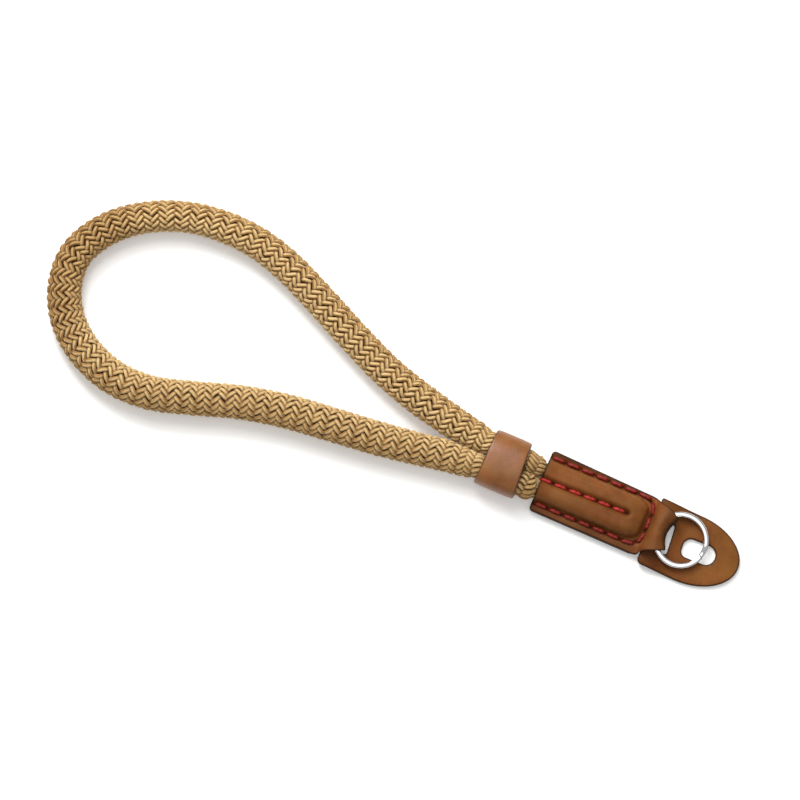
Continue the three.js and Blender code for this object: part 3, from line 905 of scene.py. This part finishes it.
def make_keeper():
    """A soft band of leather, crowned across its width and flat where it lies."""
    across = spaced(1.0, KEEPER_STEP, KEEPER_RIM)
    width = KEEPER_RIGHT - KEEPER_LEFT
    distance = np.minimum(across, 1 - across) * width
    fall = rounded(distance, KEEPER_EDGE[0]) * KEEPER_EDGE[1]
    crown = -KEEPER_CROWN * (2 * across - 1) ** 4
    angle = np.linspace(0, 2 * math.pi, KEEPER_SIDES, endpoint=False)
    grids = []
    for extra, sign in ((KEEPER_LEATHER, -1), (KEEPER_INSIDE, 1)):
        points = np.zeros((len(angle), len(across), 3))
        for j, share in enumerate(across):
            y, z = (squared(wave(angle), 2 / KEEPER_SQUARE) * (half + (extra + sign * fall[j] + crown[j]))
                    for wave, half in zip((np.cos, np.sin), KEEPER_HOLLOW))
            skew = (0.5 - share) * KEEPER_SLANT * y - KEEPER_WAVE[0] * np.sin(KEEPER_WAVE[1] * y)
            points[:, j, 0] = KEEPER_LEFT + share * width + skew
            points[:, j, 1] = KEEPER_AXIS + y
            points[:, j, 2] = np.maximum(KEEPER_HOLLOW[1] + KEEPER_LEATHER + z, CLEARANCE)
        grids.append(points)
    band = sheet("keeper", *grids, closed=True)
    sheet_values(band, "cut_edge_and_painted_shade", np.tile(smooth_between(*KEEPER_DARK, distance), (len(angle), 1)))
    return finish_piece(band, SHINY_LEATHER, "keeper_leather", "keeper_band")


make_rope(make_keeper())


# ---- stitch rows ----

def edge_stitch_path():
    """Along one side of the tab, round its end and back along the other side."""
    top, low = (TAB_AXIS + side for side in STITCH_SIDES)
    start, corner, end = TAB_LEFT + STITCH_START, STITCH_CORNER, STITCH_END
    bend = np.linspace(0, math.pi / 2, CORNER_STEPS)
    points = [(x, top) for x in np.arange(start, end - corner, PATH_STEP)]
    points += [(end - corner + corner * math.sin(a), top - corner + corner * math.cos(a)) for a in bend]
    points += [(end, y) for y in np.arange(top - corner - PATH_STEP, low + corner, -PATH_STEP)]
    points += [(end - corner + corner * math.cos(a), low + corner - corner * math.sin(a)) for a in bend]
    points += [(x, low) for x in np.arange(end - corner - PATH_STEP, start, -PATH_STEP)]
    return np.array(points)


def valley_y(x):
    start, end = VALLEY_OFFSET
    return TAB_AXIS + start + (end - start) * smooth_between(TAB_LEFT, VALLEY_END, x)


def valley_stitch_path():
    x = np.arange(*VALLEY_ROW, PATH_STEP)
    return np.stack([x, valley_y(x)], axis=1)


def evenly(path, between=False):
    """Places and directions of the stitches along a flat path, or of the dents between them."""
    along = run_along(path)
    count = round(along[-1] / STITCH_PITCH)
    at = (np.arange(count + 1) if between else np.arange(count) + 0.5) * along[-1] / count
    before, after = (read_at(at + reach, along, path) for reach in (-STITCH_REACH, STITCH_REACH))
    return read_at(at, along, path), unit(after - before)


def groove(distance, depth, width):
    """How deep a soft groove is at a distance from its line."""
    return depth * np.exp(-(distance / width) ** 2)


def path_distance(x, y, path):
    """How far each point lies from the nearest of the path's stretches."""
    flat = np.stack([x.ravel(), y.ravel()], axis=1)
    nearest = np.full(len(flat), np.inf)
    for a, b in zip(path[:-1:2], path[2::2]):
        way = b - a
        share = np.clip(((flat - a) @ way) / (way @ way), 0, 1)
        nearest = np.minimum(nearest, np.linalg.norm(flat - a - share[:, None] * way, axis=1))
    return nearest.reshape(x.shape)


def dent_marks(x, y, path):
    """1 in the dents between stitches, where the thread goes down, falling to 0 round them: the leather
    sinks there and is painted in shade.
    """
    marks = np.zeros_like(x)
    for (gx, gy), (wx, wy) in zip(*evenly(path, between=True)):
        dx, dy = x - gx, y - gy
        along, across = dx * wx + dy * wy, dy * wx - dx * wy
        marks = np.maximum(marks, np.exp(-(along / DENT_LONG) ** 4 - (across / DENT_WIDE) ** 2))
    return marks


# ---- end tab ----

def lobe_height(x, y):
    """How far the leather stands up over the rope ends."""
    past_side = np.clip(1 - (LOBE_REACH - np.abs(y - TAB_AXIS)) / LOBE_SIDE, 0, 1)
    past_end = np.clip(1 - (LOBE_END - x) / LOBE_FALL, 0, 1)
    off_top = np.clip(np.hypot(past_side, past_end), 0, 1)
    rise = np.sqrt(1 - off_top ** LOBE_ROUND) * smooth_between(0, LOBE_FOOT, 1 - off_top)
    beyond = np.maximum(x - VALLEY_END, 0)
    off_valley = np.hypot(y - valley_y(np.minimum(x, VALLEY_END)), beyond)
    valley = 1 - groove(off_valley, 1 - VALLEY_LEFT, VALLEY_WIDTH)
    tops = np.interp(x, *zip(*LOBE_TOPS)) - SEWN_TOP
    return tops * rise * valley


def rope_room(x, y):
    """Height of the hollow round the rope ends, or the joint's height where there is none."""
    rows = np.array(sorted(ROPE_ROWS[:4]))
    middle, wide, tall = (np.interp(x, rows[:, 0], rows[:, k]) for k in (2, 3, 4))
    room = np.full_like(x, LAYER_JOINT + LAYER_GAP)
    for leg in ROPE_LEGS:
        share = np.clip(1 - ((y - leg) / (wide / 2 + ROPE_SLACK)) ** 2, 0, 1)
        top = middle + (tall / 2 + ROPE_SLACK) * np.sqrt(share)
        room = np.where((share > 0) & (x < ROPE_END + ROPE_ROOM_PAST), np.maximum(room, top), room)
    return room


def ring_bend(y):
    """How far the fold bends away to follow the ring's wire."""
    inner = RING_RADIUS - WIRE_WIDTH / 2 - WIRE_SLACK
    across = np.clip(y - RING_AXIS, BEND_SHORT - inner, inner - BEND_SHORT)
    return FOLD_BEND * np.tanh((inner - np.sqrt(inner ** 2 - across ** 2)) / FOLD_BEND)


def tab_lines():
    """Rows of (outer x, z, inner x, z, low edge, high edge) from the mouth round the fold and back."""
    inside = np.linspace(TAB_LEFT + RIM[-1] + FLAT_START, FOLD_ROWS[0][0], FLAT_ROWS)
    flat = np.concatenate([TAB_LEFT + np.array(RIM), inside])
    from_mouth = flat - TAB_LEFT
    past_corner = np.clip(MOUTH_CORNER - from_mouth, 0, MOUTH_CORNER)
    cut = MOUTH_CORNER - np.sqrt(MOUTH_CORNER ** 2 - past_corner ** 2)
    to_mouth = 1 - from_mouth / (TAB_SHOULDER - TAB_LEFT)
    low, high = (edge + shift * to_mouth for edge, shift in zip(FOLD_ROWS[0][4:], MOUTH_SHIFT))

    def layer(outside, joint):
        same = np.ones_like(flat)
        return np.stack([flat, outside * same, flat, joint * same, low + cut, high - cut], axis=1)

    front = layer(SEWN_TOP, LAYER_JOINT + LAYER_GAP)
    back = layer(BACK, LAYER_JOINT - LAYER_GAP)[::-1]
    fold = curve_through(FOLD_ROWS, FOLD_STEPS, 0.0)
    return np.vstack([front[:-1], fold[:-1], back]), len(front)


def tab_shade_and_dark_flange(x, y):
    """How dark the tab is: darker over its upper flange, with painted shade at its neck by the ring and over
    its lower half.
    """
    flange = smooth_between(*FLANGE_DARKER[0], y) * smooth_between(*FLANGE_DARKER[1], x)
    return np.maximum(flange, np.maximum(in_steps(NECK_PAINTED_SHADE, x), in_steps(LOWER_PAINTED_SHADE, y)))


def make_tab():
    """One strip of leather folded round the ring, its two layers sewn together over the rope ends."""
    lines, front = tab_lines()
    low, high = lines[:, 4:5], lines[:, 5:6]
    y = low + (high - low) * (spaced(TAB_WIDTH, TAB_STEP, RIM) / TAB_WIDTH)
    bend = ring_bend(y)
    outer, inner = (np.stack([
        lines[:, k:k + 1] + bend * smooth_between(*BEND_RANGE, lines[:, k:k + 1]),
        y, lines[:, k + 1:k + 2] + 0 * y], axis=2) for k in (0, 2))
    x = outer[..., 0]
    row = np.arange(len(y))
    sewn, upper, below = row < front, row < front + FRONT_ROWS, row > len(y) - front - BACK_ROWS

    edge_path, valley_path = edge_stitch_path(), valley_stitch_path()
    off_edge, off_valley = path_distance(x, y, edge_path), path_distance(x, y, valley_path)
    dents = np.maximum(dent_marks(x, y, edge_path), dent_marks(x, y, valley_path)) * upper[:, None]
    raised = lobe_height(x, y) - groove(off_edge, *SEAM)
    pulled_up = groove(off_edge, *BACK_SEAM) + groove(off_valley, *BACK_SEAM)
    outer[upper, :, 2] += (raised - DENT_DEEP * dents)[upper]
    outer[below, :, 2] += pulled_up[below]
    inner[sewn, :, 2] = rope_room(inner[..., 0], y)[sewn]

    from_edge = np.minimum(np.minimum(y - low, high - y), np.abs(lines[:, :1] - TAB_LEFT))
    through = unit(outer - inner) * (rounded(from_edge, TAB_EDGE) * TAB_EDGE)[..., None]
    outer, inner = outer - through, inner + through
    # Painted shade on the fold's underside past its nose, put in with the dark cut edges.
    past_nose = (row[:, None] > front + NOSE_ROWS) * smooth_between(*NOSE_DARK, outer[..., 2])
    edge = np.maximum(smooth_between(*EDGE_DARK, from_edge), NOSE_DARKEST * past_nose)
    tab = sheet("tab", outer, inner)
    sheet_values(tab, "cut_edge_and_painted_shade", edge)
    # painted shade at the neck and lower half, and the darker upper flange
    sheet_values(tab, "painted_shade_and_dark_flange", tab_shade_and_dark_flange(x, y))
    # painted shade in the dents on the front
    point_values(tab, "stitch_dent_painted_shade", np.concatenate([dents.ravel(), 0 * dents.ravel()]))
    finish_piece(tab, TAB_LEATHER, "tab_leather", "end_tab")


make_tab()


# ---- stitches ----

STITCH_INPUTS = [
    ("Stitch length", FLOAT, STITCH_LENGTH * MM),
    ("Thread", FLOAT, THREAD * MM),
    ("Bow", FLOAT, STITCH_BOW * MM),
    ("Twists", FLOAT, STITCH_TWISTS),
]


def stitch_tree():
    """One thread stitch at each point of a path, bowed up between the two dents it goes down."""
    t, given, result = new_tree("stitch_row", "GeometryNodeTree", [
        ("Path", GEOMETRY), *STITCH_INPUTS, ("Material", MATERIAL)], [("Stitches", GEOMETRY)])
    half = t.times(given["Stitch length"], 0.5)
    line = t.add("GeometryNodeCurvePrimitiveLine", {"Start": t.xyz(t.times(half, -1.0)), "End": t.xyz(half)})
    dense = t.add("GeometryNodeResampleCurve", {"Curve": line.outputs[0], "Count": STITCH_POINTS})
    share = t.add("GeometryNodeSplineParameter").outputs["Factor"]
    from_middle = t.maths("ABSOLUTE", t.minus(t.times(share, 2.0), 1.0))
    drop = t.times(t.maths("POWER", from_middle, STITCH_DROP[0]), STITCH_DROP[1])
    rise = t.xyz(z=t.times(t.minus(1.0, drop), given["Bow"]))
    bowed = t.add("GeometryNodeSetPosition", {"Geometry": dense.outputs[0], "Offset": rise})
    tilt = t.times(share, t.times(given["Twists"], math.pi))
    twisted = t.add("GeometryNodeSetCurveTilt", {"Curve": bowed.outputs[0], "Tilt": tilt})

    # The thread's section has a waist on both sides, between its two plies.
    circle = t.add("GeometryNodeCurvePrimitiveCircle", {
        "Resolution": THREAD_SIDES, "Radius": t.times(given["Thread"], 0.5)})
    turn = t.times(t.add("GeometryNodeSplineParameter").outputs["Factor"], 4 * math.pi)
    waist = t.maths("MULTIPLY_ADD", t.maths("COSINE", turn), THREAD_WAIST, -THREAD_WAIST)
    inwards = t.scaled(t.add("GeometryNodeInputPosition").outputs[0], waist)
    two_ply = t.add("GeometryNodeSetPosition", {"Geometry": circle.outputs[0], "Offset": inwards})

    upright = t.add("FunctionNodeAlignRotationToVector", {
        "Vector": t.stored("top", "FLOAT_VECTOR")}, axis="Z")
    facing = t.add("FunctionNodeAlignRotationToVector", {
        "Rotation": upright.outputs[0], "Vector": t.stored("way", "FLOAT_VECTOR")}, axis="X", pivot_axis="Z")
    placed = t.add("GeometryNodeInstanceOnPoints", {
        "Points": given["Path"], "Instance": t.swept(twisted.outputs[0], two_ply.outputs[0]),
        "Rotation": facing.outputs[0]})
    t.put(result["Stitches"], t.finished(placed.outputs[0], given["Material"]))
    return t.tree


def make_stitches():
    """The red stitches on the tab's front and back."""
    places, ways, tops, row_painted_shade = [], [], [], []
    # the side rows get painted shade, the middle row none
    for path, rest, row_shade in zip((edge_stitch_path(), valley_stitch_path()), STITCH_REST, (1.0, 0.0)):
        for (x, y), (wx, wy) in zip(*evenly(path)):
            before, here, after = (float(SEWN_TOP + lobe_height(np.array(x + k * wx), np.array(y + k * wy)))
                                   for k in (-1, 0, 1))
            places += [(x, y, here + rest), (x, y, THREAD * 0.5 + STITCH_BOW + CLEARANCE)]
            ways += [(wx, wy, (after - before) / 2), (wx, wy, 0)]
            tops += [(0, 0, 1), (0, 0, -1)]
            row_painted_shade += [row_shade, row_shade]
    points = mesh_object("stitches", places, [])
    point_values(points, "row_painted_shade", row_painted_shade)
    point_values(points, "way", ways, "FLOAT_VECTOR")
    point_values(points, "top", tops, "FLOAT_VECTOR")
    stitches = shape_by(points, stitch_tree(), STITCH_INPUTS, RED_THREAD)
    finish_piece(stitches, RED_THREAD, "thread")


make_stitches()


# ---- split ring ----

def make_ring():
    """Almost two turns of flattened wire, which steps up by its own height where it overlaps."""
    degrees = RING_START + np.arange(0, RING_SWEEP + 0.1, RING_PITCH)
    angle = np.radians(degrees)
    inward = np.stack([-np.cos(angle), -np.sin(angle), 0 * angle], axis=1)
    turn = np.arange(WIRE_SIDES) * 2 * math.pi / WIRE_SIDES
    wide, tall = (squared(wave(turn), WIRE_SQUARE) * size / 2
                  for wave, size in ((np.cos, WIRE_WIDTH), (np.sin, LAYER_HEIGHT)))
    from_end = np.minimum(np.arange(len(degrees)), np.arange(len(degrees))[::-1])
    size = np.interp(from_end, *zip(*WIRE_ENDS))[:, None]
    points = (-inward * RING_RADIUS)[:, None] + inward[:, None] * (size * wide)[..., None]
    x, y = points[..., 0], points[..., 1]
    z = (smooth_between(*RING_STEP, degrees)[:, None] - 0.5) * LAYER_PITCH + size * tall
    tilt = math.radians(RING_TILT)
    height = PAD_THICKNESS + RING_OVER_PAD + (LAYER_HEIGHT + LAYER_PITCH) / 2 + RING_RADIUS * math.sin(tilt)
    flat = np.stack([RING_X + x * math.cos(tilt) + z * math.sin(tilt), RING_AXIS + y,
                     height - x * math.sin(tilt) + z * math.cos(tilt)], axis=2).reshape(-1, 3)
    ring = mesh_object("ring", flat, outward(flat, tube_faces(len(degrees), WIRE_SIDES)))
    finish_piece(ring, STEEL, "ring_steel", "split_ring")


make_ring()


# ---- protector pad ----

def resampled(loop, step):
    """A closed loop of points spaced evenly."""
    closed = np.vstack([loop, loop[:1]])
    along = run_along(closed)
    return read_at(np.linspace(0, along[-1], int(along[-1] / step) + 1)[:-1], along, closed)


def rounded_corners(corners):
    """A loop of points round the given corners, each of them x, y and its radius."""
    points = []
    places = np.array([corner[:2] for corner in corners])
    for k, here in enumerate(places):
        radius = corners[k][2]
        back, on = unit(places[k - 1] - here), unit(places[(k + 1) % len(places)] - here)
        half = math.acos(float(np.clip(back @ on, -1, 1))) / 2
        middle = here + unit(back + on) * radius / math.sin(half)
        (x0, y0), (x1, y1) = (here + way * radius / math.tan(half) - middle for way in (back, on))
        start = math.atan2(y0, x0)
        sweep = (math.atan2(y1, x1) - start + math.pi) % (2 * math.pi) - math.pi
        points += [middle + radius * np.array((math.cos(a), math.sin(a)))
                   for a in start + sweep * np.linspace(0, 1, CORNER_POINTS)]
    return points


def pad_outline():
    """Square at the fold and round at the far end, in X and from the pad's axis in Y."""
    length, half_width = PAD_END - PAD_ROUND_START, (PAD_HIGH - PAD_LOW) / 2
    far = [(PAD_ROUND_START + length * math.cos(a), half_width * math.sin(a))
           for a in np.linspace(-math.pi / 2, math.pi / 2, ROUND_POINTS)]
    return far + [p for p in rounded_corners(PAD_CORNERS) if p[0] < PAD_SQUARE_END]


def anticlockwise(loop):
    """The loop, turned over if it runs clockwise."""
    after = np.roll(loop, -1, axis=0)
    return loop if np.sum(loop[:, 0] * after[:, 1] - after[:, 0] * loop[:, 1]) > 0 else loop[::-1]


def inside_loop(x, y, loop):
    inside = np.zeros(np.shape(x), bool)
    for (x0, y0), (x1, y1) in zip(loop, np.roll(loop, -1, axis=0)):
        if y0 != y1:
            inside ^= ((y0 > y) != (y1 > y)) & (x < x0 + (y - y0) * (x1 - x0) / (y1 - y0))
    return inside


def in_leather(x, y, loops):
    """Inside the first loop and outside the others."""
    return inside_loop(x, y, loops[0]) & ~np.any([inside_loop(x, y, hole) for hole in loops[1:]], axis=0)


def moved_left(loop, distance):
    """A loop moved to the left of its own direction: inwards if it runs anticlockwise."""
    way = unit(np.roll(loop, -1, axis=0) - np.roll(loop, 1, axis=0))
    return loop + distance * np.stack([-way[:, 1], way[:, 0]], axis=1)


def filled(loops, step):
    """Triangles between closed loops, with points at every step inside."""
    points, edges = [], []
    for loop in loops:
        start = len(points)
        points += [Vector(p) for p in loop]
        edges += [(start + i, start + (i + 1) % len(loop)) for i in range(len(loop))]
    low, high = loops[0].min(axis=0), loops[0].max(axis=0)
    x, y = np.meshgrid(np.arange(low[0], high[0], step), np.arange(low[1], high[1], step))
    x = x + (np.arange(len(x))[:, None] % 2) * step / 2
    border = np.concatenate(loops)
    near = np.min(np.hypot(x.ravel()[:, None] - border[:, 0], y.ravel()[:, None] - border[:, 1]), axis=1)
    keep = in_leather(x, y, loops) & (near.reshape(x.shape) > step * FILL_GAP)
    points += [Vector(p) for p in zip(x[keep], y[keep])]
    found, _, faces, _, _, _ = delaunay_2d_cdt(points, edges, [], 0, 1e-7)
    flat = np.array([tuple(v) for v in found])
    kept = []
    for face in faces:
        a, b, c = flat[face]
        if in_leather(*flat[face].mean(axis=0), loops):
            turn = (b[0] - a[0]) * (c[1] - a[1]) - (b[1] - a[1]) * (c[0] - a[0])
            kept.append(tuple(face) if turn > 0 else tuple(reversed(face)))
    return flat, kept


def pad_underside(x, y):
    """Height of the pad's underside: it comes down from the fold, lies flat, and waves a little."""
    under = sum(np.interp(x + shift, *zip(*PAD_ROWS)) for shift in PAD_SOFTENING) / len(PAD_SOFTENING)
    wave = 1 + np.sin(PAD_WAVE_LAY[0] * x + PAD_WAVE_LAY[1] * y)
    return under + PAD_WAVE * wave * smooth_between(*PAD_FLAT, x)


def merged(piece):
    """Joins the piece's points that lie in one place."""
    shape = bmesh.new()
    shape.from_mesh(piece.data)
    bmesh.ops.remove_doubles(shape, verts=shape.verts, dist=1e-6)
    shape.to_mesh(piece.data)
    shape.free()


def make_pad():
    """A flat piece of leather with a slit for the fold and an eye for the lug, laid down from the fold."""
    outline = anticlockwise(resampled(pad_outline(), OUTLINE_STEP))
    holes = [anticlockwise(resampled(rounded_corners(corners), HOLE_STEP))[::-1]
             for corners in (SLIT_CORNERS, EYE_CORNERS)]
    points, faces, edge = [], [], []

    def add(flat, level, rim):
        """Adds points at one level, from -1 below to 1 on top, and gives the number of the first."""
        x, y = flat.T
        points.extend(zip(x, y + PAD_AXIS, pad_underside(x, y) + PAD_THICKNESS / 2 * (1 + level)))
        edge.extend([rim] * len(flat))
        return len(points) - len(flat)

    radius, fall = PAD_EDGE
    levels = [1 - fall * rounded(inset, radius) for inset in PAD_INSETS]
    rims = [smooth_between(*EDGE_DARK, inset) for inset in PAD_INSETS]
    inner_loops = []
    for loop in (outline, *holes):
        rings = [moved_left(loop, inset) for inset in PAD_INSETS]
        top, under = ([add(ring, sign * level, rim) for ring, level, rim in zip(rings, levels, rims)]
                      for sign in (1, -1))
        bands = [*zip(top, top[1:]), *zip(under[1:], under), (under[0], top[0])]
        for a, b in bands:
            for i in range(len(loop)):
                j = (i + 1) % len(loop)
                faces.append((a + i, a + j, b + j, b + i))
        inner_loops.append(rings[-1])
    flat, triangles = filled(inner_loops, FILL_STEP)
    for sign in (1, -1):
        start = add(flat, sign, 0.0)
        faces += [tuple(start + v for v in f[::sign]) for f in triangles]
    pad = mesh_object("pad", points, faces)
    x, y, _ = np.transpose(points)
    point_values(pad, "cut_edge_and_painted_shade", edge)
    # painted shade near the tab and the ring, deeper over the lower half
    pad_shade = PAD_PAINTED_SHADE + in_steps(PAD_LOWER_PAINTED_SHADE, y)
    point_values(pad, "painted_shade_and_dark_flange", smooth_between(*PAD_NEAR_TAB, x) * pad_shade)
    merged(pad)
    finish_piece(pad, PAD_LEATHER, "pad_leather", "protector_pad")


make_pad()


# ---- floor and light ----

FLOOR_HALF = 3000               # millimetres
LIT_PLACE = (-0.08, 0.0, 0.0)   # metres


def make_floor():
    signs = ((-1, -1), (1, -1), (1, 1), (-1, 1))
    floor = mesh_object("floor", [(x * FLOOR_HALF, y * FLOOR_HALF, 0) for x, y in signs], [(0, 1, 2, 3)])
    material, _, _ = new_material("pale_floor", {
        "Base Color": (0.80, 0.80, 0.79), "Roughness": 0.85,
        "Emission Color": (1.0, 1.0, 0.99), "Emission Strength": 0.25})
    floor.data.materials.append(material)


def make_light(name, place, size, power):
    """A round soft light, in metres and watts, that points at the strap."""
    data = bpy.data.lights.new(name, "AREA")
    data.shape = "DISK"
    data.size = size
    data.energy = power
    light = new_object(name, data)
    light.location = place
    light.rotation_mode = "QUATERNION"
    light.rotation_quaternion = (Vector(LIT_PLACE) - Vector(place)).to_track_quat("-Z", "Y")


def make_world():
    """Soft light from all round, brighter overhead than near the horizon."""
    world = bpy.data.worlds.new("studio")
    world.use_nodes = True
    t = Tree(world.node_tree)
    way = t.add("ShaderNodeTexCoord").outputs["Generated"]
    height = t.add("ShaderNodeSeparateXYZ", {"Vector": way}).outputs["Z"]
    sky = t.ramp(height, (0.0, (0.13, 0.13, 0.13)), (0.9, (0.46, 0.46, 0.46)))
    t.put(world.node_tree.nodes["Background"].inputs["Color"], sky)
    bpy.context.scene.world = world


make_floor()
make_world()
make_light("key", (-0.70, 0.62, 0.85), 0.45, 8.5)
make_light("slant", (-0.42, 0.49, 1.10), 0.5, 6.5)
make_light("overhead", (-0.05, 0.05, 1.75), 1.5, 5.5)
bpy.context.scene.view_settings.view_transform = "Standard"
